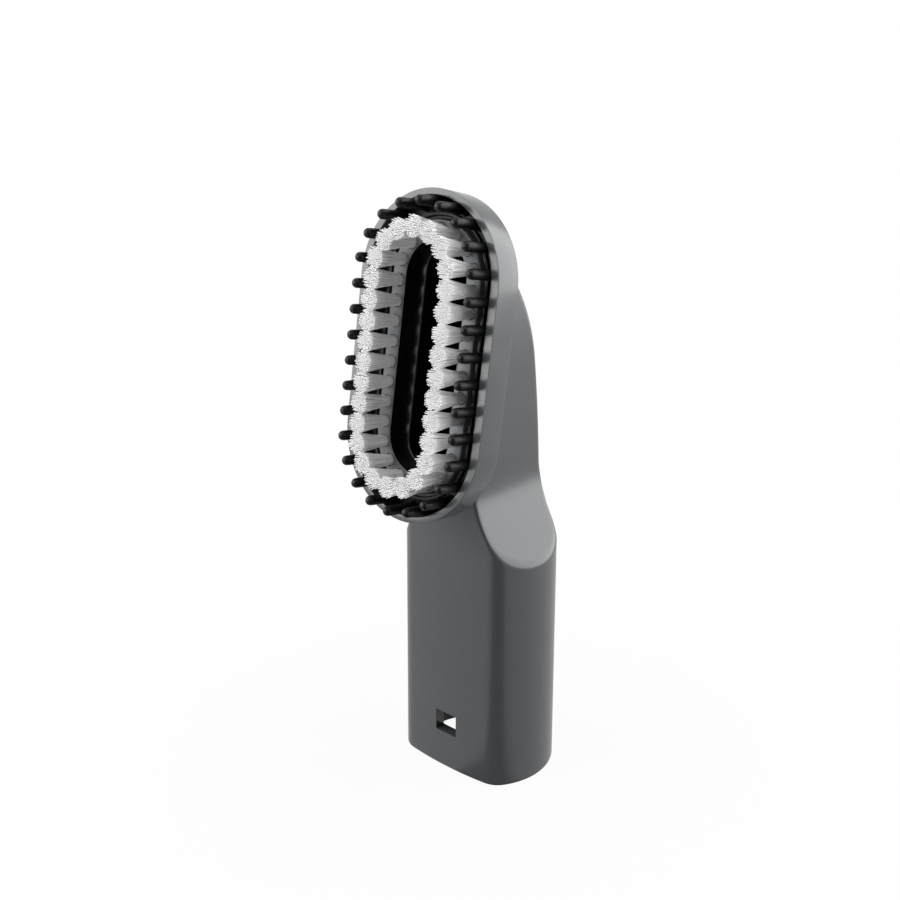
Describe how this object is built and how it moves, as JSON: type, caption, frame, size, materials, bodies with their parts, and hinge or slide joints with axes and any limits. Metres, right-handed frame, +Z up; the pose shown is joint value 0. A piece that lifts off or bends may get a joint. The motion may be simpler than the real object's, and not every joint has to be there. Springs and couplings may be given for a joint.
{
  "type": "dusting brush attachment",
  "caption": "Slim dusting brush for a hand vacuum: flat hollow socket and neck, tilted oval head with a ring of soft nylon tufts inside a ring of rubber nubs round the suction slot.",
  "frame": {"origin": "centre of the socket mouth, in the plane of its rim", "axes": "+Z up the socket to the head, -Y the way the bristles face, X the width"},
  "size_m": [0.0418, 0.0482, 0.1496],
  "materials": {
    "satin_grey_plastic": "satin, fine grain",
    "plate_plastic": "satin",
    "black_rubber": "soft sheen",
    "anchor_metal": "drawn flat wire",
    "white_nylon": "fine filaments"
  },
  "bodies": {
    "root": {"body_moulding": "satin_grey_plastic", "tuft_plate": "plate_plastic", "nub_ring": "black_rubber", "tuft_anchors": "anchor_metal", "tuft_01": "white_nylon", "tuft_02": "white_nylon", "tuft_03": "white_nylon", "tuft_04": "white_nylon", "tuft_05": "white_nylon", "tuft_06": "white_nylon", "tuft_07": "white_nylon", "tuft_08": "white_nylon", "tuft_09": "white_nylon", "tuft_10": "white_nylon", "tuft_11": "white_nylon", "tuft_12": "white_nylon", "tuft_13": "white_nylon", "tuft_14": "white_nylon", "tuft_15": "white_nylon", "tuft_16": "white_nylon", "tuft_17": "white_nylon", "tuft_18": "white_nylon", "tuft_19": "white_nylon", "tuft_20": "white_nylon", "tuft_21": "white_nylon", "tuft_22": "white_nylon", "tuft_23": "white_nylon", "tuft_24": "white_nylon", "tuft_25": "white_nylon", "tuft_26": "white_nylon", "tuft_27": "white_nylon", "tuft_28": "white_nylon", "tuft_29": "white_nylon", "tuft_30": "white_nylon"}
  },
  "joints": []
}
